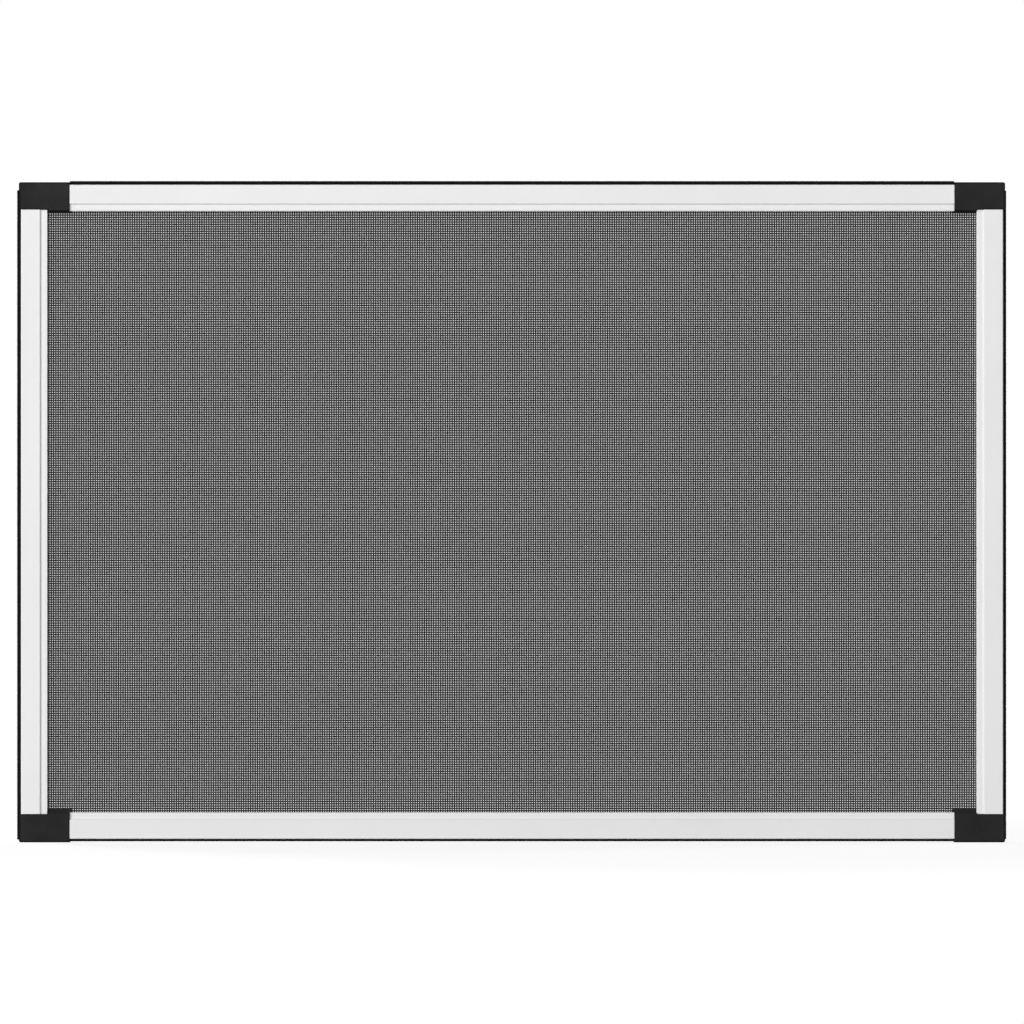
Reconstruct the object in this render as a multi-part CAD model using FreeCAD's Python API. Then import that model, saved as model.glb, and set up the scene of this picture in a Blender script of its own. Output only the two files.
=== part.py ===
"""Extendable window screen: two equal mesh panels that slide along each other.

Millimetres. +X is the width, +Y runs from the front to the back, +Z is up. The origin is the
middle of the footprint. Each panel has four aluminium bars of one extruded section, four moulded
corner caps, a mesh held by splines, and brush seals. The back panel is the front panel turned
half a turn about Z, so both are made by the same functions.
"""
import FreeCAD, Part
import math
import os

# Overall size, with the panels pushed together
FRAME_WIDTH = 750.0          # over the brush tips at both sides
FRAME_HEIGHT = 500.0         # over the corner caps
PANEL_GAP = 3.0              # between the backs of the two panels

# Extruded section: u runs in from the outer edge, v back from the visible face
BAR_WIDTH = 20.0
BAR_DEPTH = 9.0
WALL = 1.1
STEP_U = 14.2                # where the face slopes down to the inner lip
STEP_DROP = 1.2
OUTER_ROUND = 0.8
EDGE_ROUND = 0.5
CHAMBER_U = 4.2              # closed chamber that takes the legs of the corner caps
SEAL_MOUTH = 2.6             # groove for the outer brush
SEAL_CAVITY = 5.0
SEAL_CAVITY_U = 2.0
TRACK_U = 5.5                # slot in the back: guide track and holder of the meeting brush
TRACK_WIDTH = 7.0
TRACK_DEPTH = 1.9
TRACK_MOUTH = 4.0
SPLINE_GROOVE = 3.9

# Corner caps
CAP_LENGTH = 38.5
CAP_PROUD = 0.5              # in front of the bars
CAP_ROUND = 1.5
CAP_BEVEL = 0.6              # of the front edges that meet a bar
CAP_OUTER_BEVEL = 1.2        # of the front edges at the outside
CAP_SIDE_OVERHANG = 1.6      # beyond the bars, at the sides
CAP_TOP_OVERHANG = 1.9       # beyond the bars, at the top
CAP_BOTTOM_OVERHANG = 2.6    # beyond the bars, at the bottom
LEG_LENGTH = 25.0
LEG_SLIT = 1.6
LEG_TIP = 1.0
LEG_FIT = 0.1
TOP_GUSSET = 1.5             # height of the web in the upper corners of the opening
BOTTOM_GUSSET = 2.7
GUSSET_OVERLAP = 1.3
GUSSET_V = 3.0
CAP_WALL = 1.5
CAP_RIB = 1.2
CAP_POCKETS = 3

# Guide shoes of the trailing caps, which run in the other panel's track
SHOE_LENGTH = 20.4
SHOE_FIT = 0.2
SHOE_STOP = 0.4

# Mesh: a cloth wall with a ridge for each group of strands, upright ones in front
CLOTH = 0.4
RIM_FIT = 0.05
BORDER = 2.0
COLUMNS = 60
ROWS = 40
COLUMNS_PER_GAP = 5
ROWS_PER_GAP = 4
STRAND_SHARE = 0.34          # of the pitch, as in the real weave
STRAND_HEIGHT = 0.25
GAP_INSET = 0.1
SPLINE_RIBS = 10
SPLINE_RIB_DEPTH = 0.2

# Brush seals
BRUSH_FIT = 0.1
PILE_THICKNESS = 2.2
SIDE_PILE_PROUD = 1.5        # beyond the corner caps
SIDE_BRUSH_FOOT = 2.0        # height of the side brush's lower end
SIDE_BRUSH_DROP = 6.0        # how far its upper end stays below the top
BOTTOM_PILE_CLEARANCE = 1.0
MEETING_PILE_CLEARANCE = 0.3

# Places that follow from the sizes
face_v = PANEL_GAP / 2 + BAR_DEPTH
cap_edge_x = FRAME_WIDTH / 2 - SIDE_PILE_PROUD
bar_edge_x = cap_edge_x - CAP_SIDE_OVERHANG
bar_edge_low = CAP_BOTTOM_OVERHANG
bar_edge_high = FRAME_HEIGHT - CAP_TOP_OVERHANG
cap_inner_x = cap_edge_x - CAP_LENGTH
opening_x = bar_edge_x - BAR_WIDTH
opening_low = bar_edge_low + BAR_WIDTH
opening_high = bar_edge_high - BAR_WIDTH
seal_cavity_end = WALL + SEAL_CAVITY_U
inner_wall_u = BAR_WIDTH - WALL
stile_low = bar_edge_low + inner_wall_u
stile_high = bar_edge_high - inner_wall_u
groove_u = inner_wall_u - SPLINE_GROOVE
groove_floor_v = STEP_DROP + WALL
mesh_seat_v = BAR_DEPTH - WALL
track_floor_v = BAR_DEPTH - WALL - TRACK_DEPTH
track_middle_u = TRACK_U + TRACK_WIDTH / 2
chamber_end_u = groove_u - WALL
chamber_end_v = track_floor_v - WALL
seal_middle_v = BAR_DEPTH / 2
shoe_far_x = bar_edge_x - seal_cavity_end - 2 * CAP_WALL
shoe_near_x = shoe_far_x - SHOE_LENGTH
slide_travel = shoe_near_x + cap_inner_x - SHOE_STOP
vector = FreeCAD.Vector
TOUCH = 0.001                # two places nearer than this are the same


def place(side, along, u, v):
    """Point of the front panel at a distance along one side, u inwards and v backwards."""
    depth = v - face_v
    if side == "left":
        return vector(u - bar_edge_x, depth, along)
    if side == "right":
        return vector(bar_edge_x - u, depth, along)
    if side == "bottom":
        return vector(along, depth, bar_edge_low + u)
    return vector(along, depth, bar_edge_high - u)


def outline_face(side, along, corners):
    """Flat face with square corners (u, v), or rounded ones (u, v, radius)."""
    edges = []
    ends = []
    for number, corner in enumerate(corners):
        here = place(side, along, corner[0], corner[1])
        radius = corner[2] if len(corner) > 2 else 0
        if not radius:
            ends.append((here, here))
            continue
        before = corners[number - 1]
        after = corners[(number + 1) % len(corners)]
        to_before = (place(side, along, before[0], before[1]) - here).normalize() * radius
        to_after = (place(side, along, after[0], after[1]) - here).normalize() * radius
        middle = here + (to_before + to_after) * (1 - math.sqrt(0.5))
        edges.append(Part.Arc(here + to_before, middle, here + to_after).toShape())
        ends.append((here + to_before, here + to_after))
    for number, (start, _) in enumerate(ends):
        edges.append(Part.LineSegment(ends[number - 1][1], start).toShape())
    return Part.Face(Part.Wire(Part.__sortEdges__(edges)))


def bar(side, start, end, corners):
    """Straight bar of one outline along a side of the panel."""
    run = place(side, end, 0, 0) - place(side, start, 0, 0)
    solid = outline_face(side, start, corners).extrude(run)
    if solid.Volume < 0:
        solid.reverse()
    return solid


def rectangle(u_low, u_high, v_low, v_high):
    """Corners of a rectangular outline."""
    return [(u_low, v_low), (u_high, v_low), (u_high, v_high), (u_low, v_high)]


def span(one, other):
    """Two places in rising order."""
    return min(one, other), max(one, other)


def block(x_low, x_high, v_low, v_high, z_low, z_high):
    """Rectangular block of the front panel."""
    corner = vector(x_low, v_low - face_v, z_low)
    return Part.makeBox(x_high - x_low, v_high - v_low, z_high - z_low, corner)


def ring(u_low, u_high, v_low, v_high):
    """Rectangular ring round the whole opening, between two distances in from the bars' edge."""
    outer = block(u_low - bar_edge_x, bar_edge_x - u_low, v_low, v_high,
                  bar_edge_low + u_low, bar_edge_high - u_low)
    inner = block(u_high - bar_edge_x, bar_edge_x - u_high, v_low, v_high,
                  bar_edge_low + u_high, bar_edge_high - u_high)
    return outer.cut(inner)


def seal_groove(u_outside):
    """T-shaped outline of the groove in the outer edge, open outwards to u_outside."""
    mouth_low = seal_middle_v - SEAL_MOUTH / 2
    mouth_high = seal_middle_v + SEAL_MOUTH / 2
    cavity_low = seal_middle_v - SEAL_CAVITY / 2
    cavity_high = seal_middle_v + SEAL_CAVITY / 2
    return [(u_outside, mouth_low), (WALL, mouth_low), (WALL, cavity_low),
            (seal_cavity_end, cavity_low), (seal_cavity_end, cavity_high),
            (WALL, cavity_high), (WALL, mouth_high), (u_outside, mouth_high)]


def track(v_outside):
    """T-shaped outline of the slot in the back, open backwards to v_outside."""
    mouth_v = BAR_DEPTH - WALL
    mouth_low = track_middle_u - TRACK_MOUTH / 2
    mouth_high = track_middle_u + TRACK_MOUTH / 2
    return [(mouth_low, v_outside), (mouth_low, mouth_v), (TRACK_U, mouth_v),
            (TRACK_U, track_floor_v), (TRACK_U + TRACK_WIDTH, track_floor_v),
            (TRACK_U + TRACK_WIDTH, mouth_v), (mouth_high, mouth_v), (mouth_high, v_outside)]


def frame_bar(side, start, end):
    """Aluminium bar: hollow, with a face that slopes to its lip, and grooves for brush, shoe and spline."""
    outline = [
        (0, 0, OUTER_ROUND), (STEP_U, 0), (STEP_U + STEP_DROP, STEP_DROP),
        (BAR_WIDTH, STEP_DROP, EDGE_ROUND), (BAR_WIDTH, mesh_seat_v),
        (inner_wall_u, mesh_seat_v), (inner_wall_u, groove_floor_v),
        (groove_u, groove_floor_v), (groove_u, BAR_DEPTH), (0, BAR_DEPTH)]
    solid = bar(side, start, end, outline)
    chamber = rectangle(CHAMBER_U, chamber_end_u, WALL, chamber_end_v)
    hollows = [chamber, seal_groove(-WALL), track(BAR_DEPTH + WALL)]
    return solid.cut([bar(side, start, end, hollow) for hollow in hollows])


def cap_leg(side, shoulder, direction):
    """Forked leg of a corner cap, a push fit in the chamber of a bar."""
    u_low = CHAMBER_U + LEG_FIT
    u_high = chamber_end_u - LEG_FIT
    v_low = WALL + LEG_FIT
    v_high = chamber_end_v - LEG_FIT
    middle = (u_low + u_high) / 2
    straight = LEG_LENGTH - LEG_TIP
    leg = bar(side, shoulder, shoulder + direction * straight, rectangle(u_low, u_high, v_low, v_high))
    tip = outline_face(side, shoulder + direction * straight, rectangle(u_low, u_high, v_low, v_high))
    small = outline_face(side, shoulder + direction * LEG_LENGTH,
                         rectangle(u_low + LEG_TIP, u_high - LEG_TIP, v_low + LEG_TIP / 2,
                                   v_high - LEG_TIP / 2))
    leg = leg.fuse(Part.makeLoft([tip.OuterWire, small.OuterWire], True))
    slit = bar(side, shoulder + direction * CAP_RIB * 2, shoulder + direction * (LEG_LENGTH + 1),
               rectangle(middle - LEG_SLIT / 2, middle + LEG_SLIT / 2, 0, BAR_DEPTH))
    return leg.cut(slit)


def corner_cap(side, end):
    """Corner cap: end is bottom or top, side is left, with a through track, or right, with a shoe."""
    sign = -1 if side == "left" else 1
    inner_x = sign * cap_inner_x
    outer_x = sign * cap_edge_x
    if end == "bottom":
        outer_z, inner_z, shoulder_z, up = 0, opening_low, stile_low, 1
        overhang, gusset_height = CAP_BOTTOM_OVERHANG, BOTTOM_GUSSET
    else:
        outer_z, inner_z, shoulder_z, up = FRAME_HEIGHT, opening_high, stile_high, -1
        overhang, gusset_height = CAP_TOP_OVERHANG, TOP_GUSSET
    body = block(*span(inner_x, outer_x), -CAP_PROUD, BAR_DEPTH, *span(outer_z, inner_z))
    notch = block(*span(sign * opening_x, outer_x), -CAP_PROUD, BAR_DEPTH, *span(shoulder_z, inner_z))
    body = body.cut(notch)
    corner = [edge for edge in body.Edges
              if abs(edge.CenterOfMass.x - outer_x) < TOUCH and abs(edge.CenterOfMass.z - outer_z) < TOUCH]
    body = body.makeFillet(CAP_ROUND, corner)
    front_y = -face_v - CAP_PROUD
    front = [edge for edge in body.Edges if abs(edge.CenterOfMass.y - front_y) < TOUCH]
    outside = [edge for edge in front if abs(edge.CenterOfMass.x - outer_x) < CAP_ROUND
               or abs(edge.CenterOfMass.z - outer_z) < CAP_ROUND]
    body = body.makeChamfer(CAP_OUTER_BEVEL, outside)
    inside = [edge for edge in body.Edges if abs(edge.CenterOfMass.y - front_y) < TOUCH
              and abs(edge.CenterOfMass.x - outer_x) > 2 * CAP_OUTER_BEVEL
              and abs(edge.CenterOfMass.z - outer_z) > 2 * CAP_OUTER_BEVEL]
    body = body.makeChamfer(CAP_BEVEL, inside)

    gusset = block(*span(sign * (cap_inner_x - GUSSET_OVERLAP), sign * opening_x),
                   GUSSET_V, mesh_seat_v, *span(inner_z, inner_z + up * gusset_height))
    body = body.fuse([gusset, cap_leg(end, inner_x, -sign), cap_leg(side, shoulder_z, up)])

    groove = ring(groove_u, inner_wall_u, groove_floor_v, BAR_DEPTH + 1)
    seat = ring(groove_u, BAR_WIDTH + gusset_height + 1, mesh_seat_v, BAR_DEPTH + 1)
    cuts = [groove, seat]
    pocket_low = CAP_WALL - overhang
    pocket_high = TRACK_U - WALL
    pocket_step = (shoe_far_x - cap_inner_x - CAP_WALL) / CAP_POCKETS
    for number in range(CAP_POCKETS):
        near = inner_x + sign * (CAP_WALL + number * pocket_step)
        far = near + sign * (pocket_step - CAP_RIB)
        cuts.append(bar(end, near, far, rectangle(pocket_low, pocket_high, CAP_WALL, BAR_DEPTH + 1)))
    if side == "left":
        cuts.append(bar(end, -shoe_far_x - SHOE_STOP, inner_x + 1, track(BAR_DEPTH + 1)))
        cuts.append(bar("left", SIDE_BRUSH_FOOT - BRUSH_FIT, FRAME_HEIGHT - SIDE_BRUSH_DROP + BRUSH_FIT,
                        seal_groove(-CAP_SIDE_OVERHANG - 1)))
        return body.cut(cuts)
    return body.cut(cuts).fuse(guide_shoe(end))


def guide_shoe(end):
    """T-shaped shoe on the back of a trailing cap."""
    fit = SHOE_FIT
    mouth_v = BAR_DEPTH + PANEL_GAP
    neck_low = track_middle_u - TRACK_MOUTH / 2 + fit
    neck_high = track_middle_u + TRACK_MOUTH / 2 - fit
    head_low = TRACK_U + fit
    head_high = TRACK_U + TRACK_WIDTH - fit
    head_v = mouth_v + WALL + fit
    tip_v = mouth_v + WALL + TRACK_DEPTH - fit
    outline = [(neck_low, BAR_DEPTH - WALL), (neck_low, head_v), (head_low, head_v), (head_low, tip_v),
               (head_high, tip_v), (head_high, head_v), (neck_high, head_v),
               (neck_high, BAR_DEPTH - WALL)]
    return bar(end, shoe_near_x, shoe_far_x, outline)


def mesh_cloth():
    """Mesh with its rim folded into the spline groove: a wall of crossing strands with gaps."""
    rim_outer = groove_u + RIM_FIT
    rim_inner = inner_wall_u - RIM_FIT
    rim_floor = groove_floor_v + RIM_FIT
    back_v = mesh_seat_v + CLOTH
    wall = block(-opening_x, opening_x, mesh_seat_v, back_v, opening_low, opening_high)
    pitch_x = 2 * opening_x / COLUMNS
    pitch_z = (opening_high - opening_low) / ROWS
    gap_x = pitch_x * (1 - STRAND_SHARE) / 2 - GAP_INSET
    gap_z = pitch_z * (1 - STRAND_SHARE) / 2 - GAP_INSET
    gaps = []
    for column in range(COLUMNS_PER_GAP // 2, COLUMNS, COLUMNS_PER_GAP):
        x = (column + 0.5) * pitch_x - opening_x
        for row in range(ROWS_PER_GAP // 2, ROWS, ROWS_PER_GAP):
            z = opening_low + (row + 0.5) * pitch_z
            gaps.append(block(x - gap_x, x + gap_x, mesh_seat_v, back_v, z - gap_z, z + gap_z))
    parts = [
        ring(rim_outer, rim_outer + CLOTH, rim_floor, back_v),
        ring(rim_outer, rim_inner, rim_floor, rim_floor + CLOTH),
        ring(rim_inner - CLOTH, rim_inner, rim_floor, back_v),
        ring(rim_inner - CLOTH, BAR_WIDTH + BORDER, mesh_seat_v, back_v)]
    half = pitch_x * STRAND_SHARE / 2
    low = opening_low + BOTTOM_GUSSET + 2 * RIM_FIT
    high = opening_high - TOP_GUSSET - 2 * RIM_FIT
    for number in range(1, COLUMNS):
        x = number * pitch_x - opening_x
        parts.append(block(x - half, x + half, mesh_seat_v - STRAND_HEIGHT, mesh_seat_v, low, high))
    half = pitch_z * STRAND_SHARE / 2
    for number in range(1, ROWS):
        z = opening_low + number * pitch_z
        parts.append(block(BORDER - opening_x, opening_x - BORDER, back_v, back_v + STRAND_HEIGHT,
                           z - half, z + half))
    return wall.cut(gaps).fuse(parts).removeSplitter()


def spline(side, start, end):
    """Ribbed rubber cord that holds the rim of the mesh in its groove."""
    radius = SPLINE_GROOVE / 2 - CLOTH - 2 * RIM_FIT
    middle_u = (groove_u + inner_wall_u) / 2
    middle_v = groove_floor_v + 2 * RIM_FIT + CLOTH + radius
    corners = []
    for number in range(2 * SPLINE_RIBS):
        angle = math.pi * number / SPLINE_RIBS
        reach = radius - SPLINE_RIB_DEPTH * (number % 2)
        corners.append((middle_u + reach * math.cos(angle), middle_v + reach * math.sin(angle)))
    return bar(side, start, end, corners)


def outer_brush(side, start, end, reach):
    """Brush seal in the outer groove: backing strip and pile that reaches out past the bar."""
    back_low = seal_middle_v - SEAL_CAVITY / 2 + BRUSH_FIT
    back_high = seal_middle_v + SEAL_CAVITY / 2 - BRUSH_FIT
    pile_low = seal_middle_v - PILE_THICKNESS / 2
    pile_high = seal_middle_v + PILE_THICKNESS / 2
    foot = WALL + BRUSH_FIT
    return bar(side, start, end, [
        (-reach, pile_low), (foot, pile_low), (foot, back_low), (seal_cavity_end - BRUSH_FIT, back_low),
        (seal_cavity_end - BRUSH_FIT, back_high), (foot, back_high), (foot, pile_high),
        (-reach, pile_high)])


def meeting_brush(side, start, end):
    """Brush seal in the back of a stile, which closes the gap between the panels."""
    back_low = TRACK_U + BRUSH_FIT
    back_high = TRACK_U + TRACK_WIDTH - BRUSH_FIT
    pile_low = track_middle_u - PILE_THICKNESS / 2
    pile_high = track_middle_u + PILE_THICKNESS / 2
    foot = BAR_DEPTH - WALL - BRUSH_FIT
    tip = BAR_DEPTH + PANEL_GAP - MEETING_PILE_CLEARANCE
    return bar(side, start, end, [
        (pile_low, tip), (pile_low, foot), (back_low, foot), (back_low, track_floor_v + BRUSH_FIT),
        (back_high, track_floor_v + BRUSH_FIT), (back_high, foot), (pile_high, foot), (pile_high, tip)])


def panel():
    """All pieces of the front panel, by name without the panel's own."""
    pieces = {}
    for end in ("top", "bottom"):
        pieces[end + "_rail"] = frame_bar(end, -cap_inner_x, cap_inner_x)
        reach = CAP_BOTTOM_OVERHANG - BOTTOM_PILE_CLEARANCE if end == "bottom" else CAP_TOP_OVERHANG
        pieces[end + "_brush"] = outer_brush(end, BRUSH_FIT - cap_inner_x, cap_inner_x - BRUSH_FIT, reach)
        for side in ("left", "right"):
            pieces[end + "_" + side + "_cap"] = corner_cap(side, end)
    for side in ("left", "right"):
        pieces[side + "_stile"] = frame_bar(side, stile_low, stile_high)
    pieces["side_brush"] = outer_brush("left", SIDE_BRUSH_FOOT, FRAME_HEIGHT - SIDE_BRUSH_DROP,
                                       CAP_SIDE_OVERHANG + SIDE_PILE_PROUD)
    pieces["meeting_brush"] = meeting_brush("right", stile_low + BRUSH_FIT, stile_high - BRUSH_FIT)
    pieces["mesh"] = mesh_cloth()
    spline_u = groove_u + 2 * RIM_FIT + CLOTH
    for end in ("top", "bottom"):
        pieces[end + "_spline"] = spline(end, spline_u - bar_edge_x, bar_edge_x - spline_u)
    for side in ("left", "right"):
        pieces[side + "_spline"] = spline(side, stile_low, stile_high)
    return pieces


def swap_sides(name):
    """The same place on the back panel, which faces the other way."""
    if "left" in name:
        return name.replace("left", "right")
    return name.replace("right", "left")


os.makedirs("parts", exist_ok=True)
for name, shape in panel().items():
    turned = shape.copy()
    turned.rotate(vector(0, 0, 0), vector(0, 0, 1), 180)
    shape.exportStep("parts/front_" + name + ".step")
    turned.exportStep("parts/back_" + swap_sides(name) + ".step")
    print(name, "solids", len(shape.Solids), "valid", shape.isValid(), "volume", round(shape.Volume, 1))
print("slide travel", round(slide_travel, 2))
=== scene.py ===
"""Looks of an extendable window screen: finishes, woven mesh, brush pile, stage and camera.

Metres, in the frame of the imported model: +X is the width, +Y runs from the front to the back
and +Z is up. The back panel is the front panel turned half a turn about Z.
"""

import math

import bpy
import numpy as np
from bpy.props import FloatProperty, FloatVectorProperty, IntProperty, PointerProperty
from bpy.types import NodeSocket, Operator, Panel, PropertyGroup
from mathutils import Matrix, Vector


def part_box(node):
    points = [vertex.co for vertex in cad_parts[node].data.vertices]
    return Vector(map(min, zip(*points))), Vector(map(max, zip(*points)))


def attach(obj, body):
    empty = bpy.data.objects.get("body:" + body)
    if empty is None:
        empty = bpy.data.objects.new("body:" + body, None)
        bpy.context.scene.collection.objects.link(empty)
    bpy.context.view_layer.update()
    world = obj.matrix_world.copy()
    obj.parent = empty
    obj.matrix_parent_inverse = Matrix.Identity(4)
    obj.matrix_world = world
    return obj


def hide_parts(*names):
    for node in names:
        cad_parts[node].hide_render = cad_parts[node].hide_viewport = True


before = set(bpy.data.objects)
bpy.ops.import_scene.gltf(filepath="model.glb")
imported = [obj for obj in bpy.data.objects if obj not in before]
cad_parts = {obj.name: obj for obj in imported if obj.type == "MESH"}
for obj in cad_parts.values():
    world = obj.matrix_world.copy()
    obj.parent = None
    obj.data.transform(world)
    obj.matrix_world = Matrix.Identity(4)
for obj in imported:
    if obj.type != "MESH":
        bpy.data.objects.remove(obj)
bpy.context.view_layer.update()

bl_info = {
    "name": "Window screen looks",
    "version": (1, 0, 0),
    "blender": (4, 5, 0),
    "location": "3D View > Sidebar > Window screen",
    "description": "Finishes, mesh, brush pile and stage of an extendable window screen",
    "category": "Object",
}

MM = 0.001

# Each body's panel, and the sign that the half turn gives to its depths
PANELS = {"front_panel": ("front", 1.0), "back_panel": ("back", -1.0)}

# Places on the front panel, and sizes of the extruded section of its bars
OPENING_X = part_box("front_right_stile")[0].x
OPENING_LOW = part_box("front_bottom_rail")[1].z
OPENING_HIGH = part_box("front_top_rail")[0].z
MIDDLE_Z = (OPENING_LOW + OPENING_HIGH) / 2
FACE_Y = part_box("front_top_rail")[0].y
BACK_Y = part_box("front_top_rail")[1].y
INNER_WALL = 1.1 * MM            # between the opening and the spline groove
SEAT_DEPTH = 1.1 * MM            # from the back of the bar down to that wall's edge
GROOVE_WIDTH = 3.9 * MM
GROOVE_DEPTH = 6.7 * MM
LAYER_STEP = 0.55                # between the two directions of yarn, of their thickness

# Edges of the corner caps
CAP_ROUNDING = 0.18 * MM
WELD_DISTANCE = 0.001 * MM
SHARP_ANGLE = math.radians(35)

# Brush seals
BACKING_HEIGHT = 1.8 * MM        # of the woven strip under the pile
HALF_PILE = 1.1 * MM             # half the thickness of the pile
CORE_SHARE = 0.94                # of the pile's thickness and height, that is densely filled
# Painted shade: the dense core takes the darkest tone of the pile
CORE_PAINTED_SHADE = 0.0
BACKING_TONE = 0.3
TUFT_SIDES = 3
TUFT_TIP = 0.8                   # of the tuft's radius at its foot
# Painted shade: a tuft's foot is darker than its tip
TUFT_FOOT_PAINTED_SHADE = 0.2             # of the tone at its tip
DARKEST_TUFT = 0.2               # tone at the tip of the darkest tuft
SHORTEST_TUFT = 0.95             # of the pile's height
LEAN = 0.06                      # usual lean of a tuft, of the pile's height
MOST_LEAN = 0.1 * MM

# Colours and ranges of the finishes, and how fine the die lines of the bars are along X, Y and Z
BLACK = (0.0, 0.0, 0.0, 1.0)
WHITE = (1.0, 1.0, 1.0, 1.0)
DUST_ON_COAT = (0.5, 0.495, 0.48, 1.0)
DUST_ON_PLASTIC = (0.21, 0.21, 0.205, 1.0)
DUST_ON_PILE = (0.19, 0.19, 0.185, 1.0)
RAIL_LINES = (9.0, 1400.0, 1400.0)
STILE_LINES = (1400.0, 1400.0, 9.0)
COAT_ROUGHNESS = (0.34, 0.44)
YARN_ROUGHNESS = (0.5, 0.62)
PILE_ROUGHNESS = (0.85, 0.65)

# Floor, lights and camera
FLOOR_SIZE = 12.0
FLOOR_GAP = 0.1 * MM             # below the undersides of the corner caps
FLOOR_GLOW = 0.8                 # brightness near the screen that no shadow takes away
FLOOR_SHADED = 0.45              # of the floor's colour, that takes the light and the shadow there
WHITE_FROM = 0.5                 # distance at which the floor starts to go to plain white
WHITE_AT = 0.9
SENSOR_WIDTH = 36.0
FAR_CLIP = 100.0

# Name of each light, its level in the stage's settings, its place and its width
LIGHTS = (
    ("key_light", "key", (-8.4, -7.8, 3.9), 3.6),
    ("front_light", "fill", (-1.0, -9.6, 2.4), 4.2),
    ("right_light", "side", (11.0, 6.5, 4.6), 4.2),
    ("back_light", "back", (-6.4, 10.9, 6.0), 4.2),
)


def colour_property(name, description, tone):
    """Grey colour property of one linear tone."""
    return FloatVectorProperty(name=name, description=description, subtype="COLOR", size=4,
                               min=0.0, max=1.0, default=(tone, tone, tone, 1.0))


def length_property(name, description, default):
    """Length property in metres that shows small sizes in full."""
    return FloatProperty(name=name, description=description, default=default, min=0.0,
                         precision=5, subtype="DISTANCE", unit="LENGTH")


def level_property(name, description, default):
    """Property for the level of a light, where 1 alone would show a colour as it is written."""
    return FloatProperty(name=name, description=description, default=default, min=0.0,
                         subtype="FACTOR", soft_max=1.0)


class StageSetup(PropertyGroup):
    """Floor, lights and camera."""
    floor_colour: colour_property("Floor", "Colour of the floor as the lights see it", 0.6)
    key: level_property("Key", "Level of the key light, from the upper left", 0.67)
    fill: level_property("Fill", "Level of the light from the front", 0.26)
    side: level_property("Side", "Level of the light from the right", 0.4)
    back: level_property("Back", "Level of the light from behind", 0.67)
    room: level_property("Room", "Level of the room's even light", 0.12)
    camera_distance: length_property("Camera", "From the camera to the front of the bars", 9.0)
    picture_width: length_property("Picture", "Width of the picture at the bars' front", 0.7755)
    aim_height: length_property("Aim", "Height of the camera and of its aim", 0.2502)


class BarFinish(PropertyGroup):
    """Powder coat of the aluminium bars."""
    colour: colour_property("Coat", "Colour of the powder coat", 0.84)
    peel_size: length_property("Peel", "Size of the ripples in the coat", 0.9 * MM)
    peel_depth: length_property("Peel depth", "Height of the ripples in the coat", 0.006 * MM)
    line_depth: length_property("Line depth", "Height of the die lines along a bar", 0.008 * MM)


class PlasticFinish(PropertyGroup):
    """Moulded corner caps and rubber splines."""
    cap_colour: colour_property("Caps", "Colour of the corner caps", 0.0196)
    spline_colour: colour_property("Splines", "Colour of the rubber splines", 0.02)
    grain_size: length_property("Grain", "Size of the moulded grain", 0.35 * MM)
    grain_depth: length_property("Grain depth", "Height of the moulded grain", 0.012 * MM)


class MeshCloth(PropertyGroup):
    """Woven mesh of both panels."""
    colour: colour_property("Yarn", "Colour of the coated yarn", 0.03)
    pitch: length_property("Pitch", "Distance between yarns, both ways", 1.7568 * MM)
    left_start: length_property("Left start", "From the opening's left edge to a yarn", 0.874 * MM)
    top_start: length_property("Top start", "From the opening's top edge to a yarn", 1.09 * MM)
    width: length_property("Yarn width", "Width of a yarn across the mesh", 0.56 * MM)
    thickness: length_property("Yarn thickness", "Thickness of a yarn", 0.46 * MM)
    wander: length_property("Wander", "How far a yarn may lie off its place", 0.018 * MM)
    seed: IntProperty(name="Seed", description="Start of the random places", default=7)


class BrushPile(PropertyGroup):
    """Pile of the brush seals."""
    colour: colour_property("Pile", "Colour of the pile", 0.006)
    spacing: length_property("Spacing", "Distance between the tufts of a row", 0.3 * MM)
    rows: IntProperty(name="Rows", description="Rows of tufts across the pile", default=5, min=1)
    radius: length_property("Tuft radius", "Radius of a tuft of fibres at its foot", 0.14 * MM)
    top_proud: length_property("Top proud", "How far the top piles pass their solids", 1.0 * MM)
    bottom_proud: length_property("Bottom proud", "How far the bottom piles do so", 0.35 * MM)
    seed: IntProperty(name="Seed", description="Start of the random lean", default=11)


def wire_up(tree, node, wires):
    """Gives a value or a link to inputs of a node, by their names or numbers."""
    for socket, value in wires.items():
        if isinstance(value, NodeSocket):
            tree.links.new(value, node.inputs[socket])
        else:
            node.inputs[socket].default_value = value


def add_node(tree, kind, wires=None, **settings):
    """New node with its settings, and a value or a link for each input that is named."""
    node = tree.nodes.new(kind)
    for name, value in settings.items():
        setattr(node, name, value)
    wire_up(tree, node, wires or {})
    return node


def calculate(tree, operation, first, second=0.0):
    """Output of a math node."""
    return add_node(tree, "ShaderNodeMath", {0: first, 1: second}, operation=operation).outputs[0]


def ramp(tree, value, source=(0.0, 1.0), target=(0.0, 1.0)):
    """Value mapped from one range to another, and kept inside it."""
    wires = {"Value": value, "From Min": source[0], "From Max": source[1],
             "To Min": target[0], "To Max": target[1]}
    return add_node(tree, "ShaderNodeMapRange", wires).outputs["Result"]


def blend_colours(tree, factor, first, second):
    """Colour between two others."""
    wires = {0: factor, 6: first, 7: second}
    return add_node(tree, "ShaderNodeMix", wires, data_type="RGBA").outputs[2]


def noise(tree, place, scale, detail, roughness=0.5):
    """Value of a noise texture."""
    wires = {"Vector": place, "Scale": scale, "Detail": detail, "Roughness": roughness}
    return add_node(tree, "ShaderNodeTexNoise", wires).outputs["Fac"]


def bump(tree, distance, height, base=None):
    """Normal that a height bends, on top of the normal of another bump."""
    wires = {"Strength": 1.0, "Distance": distance, "Height": height}
    if base is not None:
        wires["Normal"] = base
    return add_node(tree, "ShaderNodeBump", wires).outputs["Normal"]


def object_place(tree):
    """Place on the object, in metres."""
    return add_node(tree, "ShaderNodeTexCoord").outputs["Object"]


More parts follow.
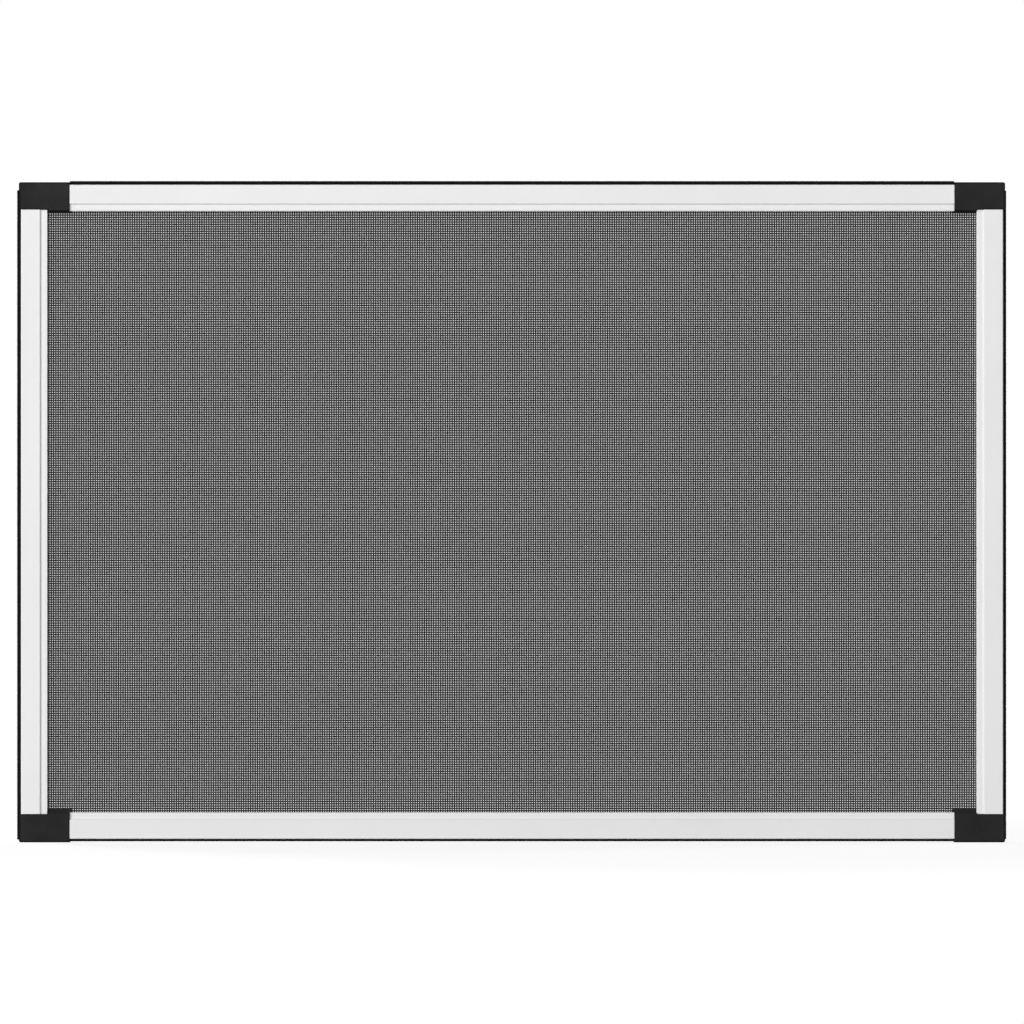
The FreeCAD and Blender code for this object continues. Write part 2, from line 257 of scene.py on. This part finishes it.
def facing(tree):
    """Parts along X, Y and Z of the direction that the surface faces."""
    normal = add_node(tree, "ShaderNodeNewGeometry").outputs["Normal"]
    return add_node(tree, "ShaderNodeSeparateXYZ", {0: normal}).outputs


def shade(colour, factor):
    """A colour made darker or lighter, with full alpha."""
    return tuple(channel * factor for channel in colour[:3]) + (1.0,)


def effect_group(name, inputs, outputs):
    """Empty node group: its tree, its inputs by name, and the node that takes its outputs."""
    tree = bpy.data.node_groups.new(name, "ShaderNodeTree")
    for label, kind, default in inputs:
        socket = tree.interface.new_socket(name=label, in_out="INPUT", socket_type=kind)
        socket.default_value = default
    for label in outputs:
        tree.interface.new_socket(name=label, in_out="OUTPUT", socket_type="NodeSocketFloat")
    return tree, tree.nodes.new("NodeGroupInput").outputs, tree.nodes.new("NodeGroupOutput")


def surface_grain(name):
    """Group: fine and coarse grain of a coat or a moulding, and broad patches of handling."""
    tree, given, result = effect_group(
        name, [("Size", "NodeSocketFloat", MM), ("Patch", "NodeSocketFloat", 60 * MM)],
        ["Height", "Speck", "Patches"])
    place = object_place(tree)
    fine_scale = calculate(tree, "DIVIDE", 1.0, given["Size"])
    coarse_scale = calculate(tree, "MULTIPLY", fine_scale, 0.27)
    patch_scale = calculate(tree, "DIVIDE", 1.0, given["Patch"])
    fine = noise(tree, place, fine_scale, detail=3.0, roughness=0.6)
    coarse = noise(tree, place, coarse_scale, detail=1.0)
    patch = noise(tree, place, patch_scale, detail=4.0, roughness=0.62)
    height = add_node(tree, "ShaderNodeMix", {0: 0.4, 2: fine, 3: coarse}).outputs[0]
    wire_up(tree, result, {"Height": height, "Speck": ramp(tree, fine, source=(0.66, 0.74)),
                           "Patches": ramp(tree, patch, source=(0.35, 0.7))})


def run_lines(name):
    """Group: fine lines along a bar. Stretch is the scale of their noise along X, Y and Z."""
    tree, given, result = effect_group(
        name, [("Stretch", "NodeSocketVector", (1.0, 1.0, 1.0))], ["Height", "Streak"])
    stretched = add_node(tree, "ShaderNodeVectorMath", {0: object_place(tree), 1: given["Stretch"]},
                         operation="MULTIPLY").outputs["Vector"]
    lines = noise(tree, stretched, 1.0, detail=3.0, roughness=0.7)
    wire_up(tree, result, {"Height": lines, "Streak": ramp(tree, lines, source=(0.58, 0.78))})


def settled_dust(name):
    """Group: a thin, broken film of dust on what faces up."""
    tree, given, result = effect_group(
        name, [("Amount", "NodeSocketFloat", 0.2), ("Size", "NodeSocketFloat", MM)], ["Mask"])
    upward = ramp(tree, facing(tree)["Z"], source=(0.1, 0.95))
    scale = calculate(tree, "DIVIDE", 1.0, given["Size"])
    grains = noise(tree, object_place(tree), scale, detail=5.0, roughness=0.75)
    film = ramp(tree, grains, source=(0.4, 0.7), target=(0.15, 1.0))
    mask = calculate(tree, "MULTIPLY", calculate(tree, "MULTIPLY", upward, film), given["Amount"])
    wire_up(tree, result, {"Mask": mask})


def crossing_relief_and_painted_shade(name):
    """Group: rise and fall of a yarn over and under the ones that it crosses, and painted shade
    that darkens it where it passes under.
    """
    tree, given, result = effect_group(
        name, [("Pitch", "NodeSocketFloat", MM), ("Side", "NodeSocketFloat", 1.0),
               ("First X", "NodeSocketFloat", 0.0), ("First Z", "NodeSocketFloat", 0.0)],
        ["Height", "Painted shade"])
    place = add_node(tree, "ShaderNodeSeparateXYZ", {0: object_place(tree)}).outputs
    waves = []
    for axis, first in (("X", "First X"), ("Z", "First Z")):
        offset = calculate(tree, "SUBTRACT", place[axis], given[first])
        steps = calculate(tree, "DIVIDE", offset, given["Pitch"])
        waves.append(calculate(tree, "COSINE", calculate(tree, "MULTIPLY", steps, math.pi)))
    over = calculate(tree, "MULTIPLY", calculate(tree, "MULTIPLY", *waves), given["Side"])
    # Painted shade: darker where the yarn passes under the one that it crosses
    wire_up(tree, result, {"Height": ramp(tree, over, source=(-1.0, 1.0)),
                           "Painted shade": ramp(tree, over, source=(-1.0, 0.6))})


def place_group(tree, effect, **values):
    """Outputs of a group in a material. The group is built when it is first placed.

    Values are named as its inputs, with _ for a space.
    """
    name = effect.__name__
    if name not in bpy.data.node_groups:
        effect(name)
    wires = {label.replace("_", " "): value for label, value in values.items()}
    group = bpy.data.node_groups[name]
    return add_node(tree, "ShaderNodeGroup", wires, node_tree=group).outputs


def new_material(name):
    """Material with its tree and its Principled shader."""
    material = bpy.data.materials.new(name)
    material.use_nodes = True
    return material, material.node_tree, material.node_tree.nodes["Principled BSDF"]


def powder_coat(name, finish, stretch):
    """White coat on extruded aluminium, with ripples and faint die lines along the bar."""
    material, tree, shader = new_material(name)
    grain = place_group(tree, surface_grain, Size=finish.peel_size, Patch=90 * MM)
    lines = place_group(tree, run_lines, Stretch=stretch)
    dust = place_group(tree, settled_dust, Amount=0.22, Size=1.4 * MM)["Mask"]
    coat = blend_colours(tree, grain["Patches"], finish.colour, shade(finish.colour, 0.975))
    streak = calculate(tree, "MULTIPLY", lines["Streak"], 0.5)
    streaked = blend_colours(tree, streak, coat, shade(finish.colour, 0.95))
    rough = ramp(tree, grain["Patches"], target=COAT_ROUGHNESS)
    dull = calculate(tree, "MULTIPLY", dust, 0.6)
    peel = bump(tree, finish.peel_depth, grain["Height"])
    wire_up(tree, shader, {
        "Base Color": blend_colours(tree, dust, streaked, DUST_ON_COAT),
        "Roughness": calculate(tree, "ADD", rough, dull),
        "Normal": bump(tree, finish.line_depth, lines["Height"], peel),
        "Specular IOR Level": 0.45})
    return material


def moulded_plastic(name, colour, finish, roughness, shine, painted_side_shade):
    """Black moulding with a fine spark-eroded grain, paler where it is handled.

    Its sides carry painted shade: they are darker than its front and its back, by the factor given
    for the sides.
    """
    material, tree, shader = new_material(name)
    # Painted shade: the sides, which do not face along Y, are blended towards black
    forward = calculate(tree, "ABSOLUTE", facing(tree)["Y"])
    face = ramp(tree, forward, source=(0.8, 0.99), target=(painted_side_shade, 1.0))
    grain = place_group(tree, surface_grain, Size=finish.grain_size, Patch=25 * MM)
    dust = place_group(tree, settled_dust, Amount=0.16, Size=0.9 * MM)["Mask"]
    base = blend_colours(tree, grain["Patches"], shade(colour, 0.85), shade(colour, 1.3))
    speck = calculate(tree, "MULTIPLY", grain["Speck"], 0.35)
    specked = blend_colours(tree, speck, base, shade(colour, 2.4))
    side_shaded = blend_colours(tree, face, BLACK, specked)
    rough = ramp(tree, grain["Patches"], target=(roughness + 0.06, roughness - 0.05))
    wire_up(tree, shader, {
        "Base Color": blend_colours(tree, dust, side_shaded, DUST_ON_PLASTIC),
        "Roughness": calculate(tree, "ADD", rough, dust),
        "Normal": bump(tree, finish.grain_depth, grain["Height"]),
        "Specular IOR Level": shine})
    return material


def coated_yarn(name, cloth, pitch, first_x, first_z):
    """Dark coated yarn that rises and sinks at its crossings, with painted shade where it sinks,
    and varies from yarn to yarn.
    """
    material, tree, shader = new_material(name)
    side = add_node(tree, "ShaderNodeAttribute", attribute_name="yarn_side").outputs["Fac"]
    tone = add_node(tree, "ShaderNodeAttribute", attribute_name="yarn_tone").outputs["Fac"]
    relief_and_shade = place_group(tree, crossing_relief_and_painted_shade, Pitch=pitch, Side=side,
                         First_X=first_x, First_Z=first_z)
    grain = place_group(tree, surface_grain, Size=0.16 * MM, Patch=35 * MM)
    base = blend_colours(tree, tone, shade(cloth.colour, 0.75), shade(cloth.colour, 1.3))
    # Painted shade where the yarn sinks under the one that it crosses
    painted_sunk_shade = blend_colours(tree, relief_and_shade["Painted shade"], shade(cloth.colour, 0.45), base)
    speck = calculate(tree, "MULTIPLY", grain["Speck"], 0.3)
    crimp = bump(tree, 0.12 * MM, relief_and_shade["Height"])
    wire_up(tree, shader, {
        "Base Color": blend_colours(tree, speck, painted_sunk_shade, shade(cloth.colour, 2.5)),
        "Roughness": ramp(tree, grain["Patches"], target=YARN_ROUGHNESS),
        "Normal": bump(tree, 0.01 * MM, grain["Height"], crimp),
        "Specular IOR Level": 0.25})
    return material


def brush_fibre(name, pile):
    """Black pile whose tufts differ in tone at random, with painted shade that makes them darker
    towards the foot and in the dense core.
    """
    material, tree, shader = new_material(name)
    tone = add_node(tree, "ShaderNodeAttribute", attribute_name="fibre_tone_and_shade").outputs["Fac"]
    grain = place_group(tree, surface_grain, Size=0.2 * MM, Patch=12 * MM)
    dust = place_group(tree, settled_dust, Amount=0.12, Size=0.7 * MM)["Mask"]
    base = blend_colours(tree, tone, shade(pile.colour, 0.5), shade(pile.colour, 1.5))
    patch = calculate(tree, "MULTIPLY", grain["Patches"], 0.4)
    patchy = blend_colours(tree, patch, base, shade(pile.colour, 2.0))
    wire_up(tree, shader, {
        "Base Color": blend_colours(tree, dust, patchy, DUST_ON_PILE),
        "Roughness": ramp(tree, tone, target=PILE_ROUGHNESS),
        "Normal": bump(tree, 0.01 * MM, grain["Height"]),
        "Specular IOR Level": 0.08})
    return material


def nodes_ending(ending):
    """Names of the CAD nodes that end in a word, of which there has to be at least one."""
    names = [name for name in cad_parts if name.endswith(ending)]
    if not names:
        raise RuntimeError("no CAD node's name ends in " + ending)
    return names


def give_material(names, material):
    """Gives CAD nodes one material in place of their plain one."""
    for name in names:
        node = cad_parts[name]
        node.data.materials.clear()
        node.data.materials.append(material)


def mesh_piece(name, corners, faces, material, attributes):
    """New piece from its corners and faces, with named values for its points."""
    mesh = bpy.data.meshes.new(name)
    mesh.from_pydata(np.asarray(corners, float).tolist(), [], [list(face) for face in faces])
    for label, values in attributes.items():
        attribute = mesh.attributes.new(label, "FLOAT", "POINT")
        attribute.data.foreach_set("value", np.asarray(values, np.float32))
    mesh.materials.append(material)
    mesh.validate()
    piece = bpy.data.objects.new(name, mesh)
    bpy.context.scene.collection.objects.link(piece)
    return piece


def swept_yarn(route, width, thickness, sides=6):
    """Points and faces of one flattened yarn on a route of (along, depth) pairs.

    Each point is (along, across, depth). The yarn lies at across 0.
    """
    route = np.asarray(route, float)
    steps = np.diff(route, axis=0)
    steps /= np.linalg.norm(steps, axis=1)[:, None]
    ways = np.vstack([steps[:1], steps[:-1] + steps[1:], steps[-1:]])
    ways /= np.linalg.norm(ways, axis=1)[:, None]
    turns = np.arange(sides) * math.tau / sides
    across = np.cos(turns) * width / 2
    normal = np.sin(turns) * thickness / 2
    points = []
    for (along, depth), (way_along, way_depth) in zip(route, ways):
        for side, up in zip(across, normal):
            points.append((along - way_depth * up, side, depth + way_along * up))
    faces = []
    for ring in range(len(route) - 1):
        low, high = ring * sides, (ring + 1) * sides
        for number in range(sides):
            after = (number + 1) % sides
            faces.append((low + number, low + after, high + after, high + number))
    faces.append(tuple(reversed(range(sides))))
    faces.append(tuple(range((len(route) - 1) * sides, len(route) * sides)))
    return np.array(points), faces


def rim_route(half, depth, gap):
    """Route of a yarn from one spline groove to the other, as (along, depth) pairs.

    It is level over half the opening to each side, goes over the inner wall, and keeps a gap to
    the walls of the groove.
    """
    near_wall = half + INNER_WALL + gap
    far_wall = half + INNER_WALL + GROOVE_WIDTH - gap
    floor = BACK_Y - GROOVE_DEPTH + gap
    rim = [(near_wall - gap, depth), (near_wall, depth - gap), (near_wall, floor + gap),
           (near_wall + gap, floor), (far_wall - gap, floor), (far_wall, floor + gap),
           (far_wall, BACK_Y)]
    return [(-along, y) for along, y in reversed(rim)] + rim


def route_length(route):
    """Length of a route of (along, depth) pairs."""
    return float(np.linalg.norm(np.diff(np.asarray(route), axis=0), axis=1).sum())


def yarn_places(low, high, pitch, first):
    """Places of yarns at one pitch between two limits, counted from a first one."""
    start = math.ceil((low - first) / pitch)
    stop = math.floor((high - first) / pitch)
    return first + pitch * np.arange(start, stop + 1)


def cloth_layout(cloth, stage, turn):
    """Pitch of one panel's yarns, and the places of the first upright and the first level one.

    As the camera sees them, the back panel's yarns have the front panel's pitch and lie a yarn's
    width beside them, so that the two layers show no moire in the main picture.
    """
    layer_y = BACK_Y - SEAT_DEPTH + (0.5 + LAYER_STEP / 2) * cloth.thickness
    camera_y = stage.camera_distance - FACE_Y
    share = (camera_y + turn * layer_y) / (camera_y + layer_y)
    beside = turn * cloth.width / 2
    first_x = (cloth.left_start - OPENING_X - beside) * share
    drop = OPENING_HIGH - cloth.top_start + beside - stage.aim_height
    return cloth.pitch * share, first_x, drop * share + stage.aim_height


def weave_cloth(name, turn, cloth, layout, material):
    """Mesh cloth of one panel, of real yarns in both directions, and its flat size."""
    pitch, first_x, first_z = layout
    chance = np.random.default_rng(cloth.seed + int(turn > 0))
    gap = cloth.thickness / 2
    upright_y = BACK_Y - SEAT_DEPTH + gap
    level_y = upright_y + LAYER_STEP * cloth.thickness
    half_z = (OPENING_HIGH - OPENING_LOW) / 2
    edge = cloth.width / 2
    upright = yarn_places(-OPENING_X - edge, OPENING_X + edge, pitch, first_x)
    level = yarn_places(OPENING_LOW - edge, OPENING_HIGH + edge, pitch, first_z)
    corners, faces, tones, sides = [], [], [], []
    count = 0
    for half, depth, places, side in ((half_z, upright_y, upright, 1.0),
                                      (OPENING_X, level_y, level, -1.0)):
        points, yarn_faces = swept_yarn(rim_route(half, depth, gap), cloth.width, cloth.thickness)
        for place in places + chance.uniform(-cloth.wander, cloth.wander, len(places)):
            along, across, y = points[:, 0], points[:, 1] + place, points[:, 2] * turn
            if side > 0:
                corners.append(np.column_stack([across, y, along + MIDDLE_Z]))
            else:
                corners.append(np.column_stack([along, y, across]))
            faces.extend(tuple(number + count for number in face) for face in yarn_faces)
            count += len(points)
            tones.append(np.full(len(points), chance.uniform(0.0, 1.0)))
            sides.append(np.full(len(points), side * turn))
    piece = mesh_piece(name, np.vstack(corners), faces, material,
                       {"yarn_tone": np.concatenate(tones), "yarn_side": np.concatenate(sides)})
    middle_y = (upright_y + level_y) / 2
    flat = [route_length(rim_route(half, middle_y, gap)) for half in (OPENING_X, half_z)]
    return piece, tuple(flat)


def box_faces(first):
    """Faces of a box whose eight corners are numbered from first."""
    sides = ((0, 3, 2, 1), (4, 5, 6, 7), (0, 1, 5, 4), (1, 2, 6, 5), (2, 3, 7, 6), (3, 0, 4, 7))
    return [tuple(first + number for number in side) for side in sides]


def tuft_faces(first):
    """Sides and tip of a tuft whose foot and then tip corners are numbered from first."""
    tip = first + TUFT_SIDES
    faces = []
    for number in range(TUFT_SIDES):
        after = (number + 1) % TUFT_SIDES
        faces.append((first + number, first + after, tip + after, tip + number))
    faces.append(tuple(range(tip, tip + TUFT_SIDES)))
    return faces


def brush_strip(name, node, out_axis, out_sign, proud, pile, material):
    """Brush seal in place of a CAD node: a backing strip, a dense core and rows of cut tufts.

    The tufts point along one axis, and end past the node by the length proud.
    """
    low, high = (np.array(corner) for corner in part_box(node))
    chance = np.random.default_rng(pile.seed + sum(map(ord, node)))
    along_axis = int(np.argmax(high - low))
    cross_axis = 3 - along_axis - out_axis
    start, end = low[along_axis], high[along_axis]
    middle = (low[cross_axis] + high[cross_axis]) / 2
    half_backing = (high[cross_axis] - low[cross_axis]) / 2
    foot, tip = (low, high) if out_sign > 0 else (high, low)
    backing = foot[out_axis] + out_sign * BACKING_HEIGHT
    length = abs(tip[out_axis] - backing) + proud
    corners, faces, tones = [], [], []

    def put(along, cross, out):
        """Adds a corner."""
        corner = [0.0, 0.0, 0.0]
        corner[along_axis], corner[cross_axis], corner[out_axis] = along, cross, out
        corners.append(corner)

    def add_box(half, bottom, top, tone):
        """Adds a box as long as the strip."""
        faces.extend(box_faces(len(corners)))
        for out in (bottom, top):
            for along, side in ((start, -1), (end, -1), (end, 1), (start, 1)):
                put(along, middle + side * half, out)
        tones.extend([tone] * 8)

    def add_tuft(along, cross):
        """Adds a tuft with its own lean, height, turn and tone."""
        lean = np.clip(chance.normal(0.0, LEAN * length, 2), -MOST_LEAN, MOST_LEAN)
        reach = backing + out_sign * length * chance.uniform(SHORTEST_TUFT, 1.0)
        angles = np.arange(TUFT_SIDES) * math.tau / TUFT_SIDES + chance.uniform(0.0, math.tau)
        faces.extend(tuft_faces(len(corners)))
        for out, shift, radius in ((backing, (0.0, 0.0), pile.radius),
                                   (reach, lean, TUFT_TIP * pile.radius)):
            for angle in angles:
                put(along + shift[0] + radius * math.cos(angle),
                    cross + shift[1] + radius * math.sin(angle), out)
        tone = chance.uniform(DARKEST_TUFT, 1.0)
        # Painted shade: the foot of the tuft is darker than its tip
        tones.extend([TUFT_FOOT_PAINTED_SHADE * tone] * TUFT_SIDES + [tone] * TUFT_SIDES)

    add_box(half_backing, foot[out_axis], backing, BACKING_TONE)
    # Dense core, in the darkest tone as painted shade inside the pile
    add_box(CORE_SHARE * HALF_PILE, backing, backing + out_sign * CORE_SHARE * length, CORE_PAINTED_SHADE)
    for row in range(pile.rows):
        cross = middle + HALF_PILE * (2 * (row + 0.5) / pile.rows - 1)
        stagger = 0.5 + 0.5 * (row % 2)
        for along in np.arange(start + pile.spacing * stagger, end, pile.spacing):
            add_tuft(along, cross)
    return mesh_piece(name, corners, faces, material, {"fibre_tone_and_shade": tones})


def soften_edges(node, width):
    """Small rounding of the sharp edges of a CAD node, which keeps its mesh as it is."""
    weld = node.modifiers.new("join", "WELD")
    weld.merge_threshold = WELD_DISTANCE
    rounding = node.modifiers.new("rounding", "BEVEL")
    rounding.width = width
    rounding.segments = 2
    rounding.limit_method = "ANGLE"
    rounding.angle_limit = SHARP_ANGLE
    rounding.use_clamp_overlap = True
    rounding.harden_normals = False


def seen_rays(tree):
    """1 for rays of the camera, of reflections and of glass, 0 for those that light surfaces."""
    path = add_node(tree, "ShaderNodeLightPath").outputs
    seen = calculate(tree, "MAXIMUM", path["Is Camera Ray"], path["Is Glossy Ray"])
    return calculate(tree, "MAXIMUM", seen, path["Is Transmission Ray"])


def make_floor(stage):
    """Pale floor that keeps the soft shadow and goes to plain white further out."""
    bpy.ops.mesh.primitive_grid_add(x_subdivisions=8, y_subdivisions=8, size=FLOOR_SIZE,
                                    location=(0.0, 0.0, -FLOOR_GAP))
    floor = bpy.context.object
    floor.name = "studio_floor"
    material, tree, shader = new_material("studio_floor")
    tree.nodes.remove(shader)
    place = object_place(tree)
    grain = ramp(tree, noise(tree, place, 220.0, detail=3.0), source=(0.3, 0.7))
    tone = blend_colours(tree, grain, shade(stage.floor_colour, 0.98),
                         shade(stage.floor_colour, 1.02))
    lit = add_node(tree, "ShaderNodeBsdfDiffuse", {"Color": tone}).outputs[0]
    shaded = shade(stage.floor_colour, FLOOR_SHADED)
    faint = add_node(tree, "ShaderNodeBsdfDiffuse", {"Color": shaded}).outputs[0]
    glow = add_node(tree, "ShaderNodeEmission", {"Strength": FLOOR_GLOW}).outputs[0]
    near = add_node(tree, "ShaderNodeAddShader", {0: faint, 1: glow}).outputs[0]
    white = add_node(tree, "ShaderNodeEmission", {"Strength": 1.0}).outputs[0]
    distance = add_node(tree, "ShaderNodeVectorMath", {0: place}, operation="LENGTH")
    away = ramp(tree, distance.outputs["Value"], source=(WHITE_FROM, WHITE_AT))
    seen = add_node(tree, "ShaderNodeMixShader", {0: away, 1: near, 2: white}).outputs[0]
    surface = add_node(tree, "ShaderNodeMixShader", {0: seen_rays(tree), 1: lit, 2: seen})
    wire_up(tree, tree.nodes["Material Output"], {"Surface": surface.outputs[0]})
    floor.data.materials.append(material)


def aim(thing, target):
    """Turns a light or camera towards a point."""
    way = np.array(target) - np.array(thing.location)
    flat = math.hypot(way[0], way[1])
    thing.rotation_euler = (math.atan2(flat, -way[2]), 0.0, math.atan2(-way[0], way[1]))


def make_lights(scene, stage):
    """Soft key light from the upper left, and broad ones from the front, the right and behind.

    The energy makes up for the distance, so that a level of 1 shows a colour as it is written.
    """
    target = (0.0, 0.0, MIDDLE_Z)
    for name, level, place, width in LIGHTS:
        light = bpy.data.lights.new(name, "AREA")
        light.shape = "SQUARE"
        light.size = width
        light.energy = getattr(stage, level) * math.pi ** 2 * math.dist(place, target) ** 2
        lamp = bpy.data.objects.new(name, light)
        scene.collection.objects.link(lamp)
        lamp.location = place
        aim(lamp, target)


def make_room_light(scene, stage):
    """White background for what is seen, and a low even light for what is lit."""
    world = bpy.data.worlds.new("studio_room")
    world.use_nodes = True
    tree = world.node_tree
    strength = ramp(tree, seen_rays(tree), target=(stage.room, 1.0))
    wire_up(tree, tree.nodes["Background"], {"Color": WHITE, "Strength": strength})
    scene.world = world


def make_camera(scene, stage):
    """Camera straight in front of the screen."""
    camera = bpy.data.cameras.new("camera")
    camera.sensor_width = SENSOR_WIDTH
    camera.lens = SENSOR_WIDTH * stage.camera_distance / stage.picture_width
    camera.clip_end = FAR_CLIP
    holder = bpy.data.objects.new("camera", camera)
    scene.collection.objects.link(holder)
    holder.location = (0.0, FACE_Y - stage.camera_distance, stage.aim_height)
    aim(holder, (0.0, 0.0, stage.aim_height))
    scene.camera = holder


class SCREEN_OT_set_stage(Operator):
    """Make the floor, the lights, the room's light and the camera"""
    bl_idname = "screen.set_stage"
    bl_label = "Set the stage"

    def execute(self, context):
        scene = context.scene
        stage = scene.screen_stage
        make_floor(stage)
        make_lights(scene, stage)
        make_room_light(scene, stage)
        make_camera(scene, stage)
        scene.view_settings.view_transform = "Standard"
        # Without this the noise filter takes the weave for noise and smears it
        scene.cycles.denoising_prefilter = "NONE"
        return {"FINISHED"}


class SCREEN_OT_coat_bars(Operator):
    """Give the rails and stiles their white powder coat"""
    bl_idname = "screen.coat_bars"
    bl_label = "Coat the bars"

    def execute(self, context):
        finish = context.scene.screen_bars
        rail_coat = powder_coat("white_coat_rails", finish, RAIL_LINES)
        stile_coat = powder_coat("white_coat_stiles", finish, STILE_LINES)
        give_material(nodes_ending("_rail"), rail_coat)
        give_material(nodes_ending("_stile"), stile_coat)
        return {"FINISHED"}


class SCREEN_OT_finish_mouldings(Operator):
    """Give the corner caps their moulded grain and the splines their rubber"""
    bl_idname = "screen.finish_mouldings"
    bl_label = "Finish caps and splines"

    def execute(self, context):
        finish = context.scene.screen_plastic
        # The side factors are painted shade on the sides of the caps and of the splines
        plastic = moulded_plastic("black_moulded_caps", finish.cap_colour, finish,
                                  roughness=0.55, shine=0.05, painted_side_shade=0.15)
        rubber = moulded_plastic("spline_rubber", finish.spline_colour, finish,
                                 roughness=0.72, shine=0.15, painted_side_shade=0.8)
        caps = nodes_ending("_cap")
        give_material(caps, plastic)
        give_material(nodes_ending("_spline"), rubber)
        for name in caps:
            soften_edges(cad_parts[name], CAP_ROUNDING)
        return {"FINISHED"}


class SCREEN_OT_weave_meshes(Operator):
    """Weave the mesh of each panel from real yarns, held in the spline grooves"""
    bl_idname = "screen.weave_meshes"
    bl_label = "Weave the meshes"

    def execute(self, context):
        cloth = context.scene.screen_cloth
        for body, (name, turn) in PANELS.items():
            layout = cloth_layout(cloth, context.scene.screen_stage, turn)
            material = coated_yarn("coated_yarn_" + name, cloth, *layout)
            piece, flat = weave_cloth(name + "_screen_cloth", turn, cloth, layout, material)
            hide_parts(name + "_mesh")
            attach(piece, body)
        return {"FINISHED"}


class SCREEN_OT_fit_brushes(Operator):
    """Fill the grooves of the bars with brush seals"""
    bl_idname = "screen.fit_brushes"
    bl_label = "Fit the brushes"

    def execute(self, context):
        pile = context.scene.screen_pile
        material = brush_fibre("brush_pile", pile)
        for body, (name, turn) in PANELS.items():
            # Kind of brush, axis and sign of the way that its pile points, and how far it is proud
            for kind, axis, sign, proud in (("side", 0, -turn, 0.0),
                                            ("top", 2, 1.0, pile.top_proud),
                                            ("bottom", 2, -1.0, pile.bottom_proud),
                                            ("meeting", 1, turn, 0.0)):
                node = name + "_" + kind + "_brush"
                piece = brush_strip(name + "_" + kind + "_pile", node, axis, sign, proud, pile,
                                    material)
                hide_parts(node)
                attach(piece, body)
        return {"FINISHED"}


# The scene's settings, their class and the operator that uses them, in the order of making
STEPS = {
    "screen_stage": (StageSetup, SCREEN_OT_set_stage),
    "screen_bars": (BarFinish, SCREEN_OT_coat_bars),
    "screen_plastic": (PlasticFinish, SCREEN_OT_finish_mouldings),
    "screen_cloth": (MeshCloth, SCREEN_OT_weave_meshes),
    "screen_pile": (BrushPile, SCREEN_OT_fit_brushes),
}


class SCREEN_PT_looks(Panel):
    """Buttons and sizes of the window screen's looks"""
    bl_idname = "SCREEN_PT_looks"
    bl_label = "Window screen"
    bl_space_type = "VIEW_3D"
    bl_region_type = "UI"
    bl_category = "Window screen"

    def draw(self, context):
        for settings, (group, operator) in STEPS.items():
            box = self.layout.box()
            for name in group.__annotations__:
                box.prop(getattr(context.scene, settings), name)
            box.operator(operator.bl_idname)


CLASSES = (*(each for pair in STEPS.values() for each in pair), SCREEN_PT_looks)


def register():
    """Registers the classes and gives the scene its settings."""
    for each in CLASSES:
        bpy.utils.register_class(each)
    for settings, (group, _) in STEPS.items():
        setattr(bpy.types.Scene, settings, PointerProperty(type=group))


def unregister():
    """Takes the settings and the classes away again."""
    for settings in STEPS:
        delattr(bpy.types.Scene, settings)
    for each in reversed(CLASSES):
        bpy.utils.unregister_class(each)


def main():
    """Makes the looks."""
    register()
    for _, operator in STEPS.values():
        getattr(bpy.ops.screen, operator.bl_idname.partition(".")[2])()


if __name__ == "__main__":
    main()
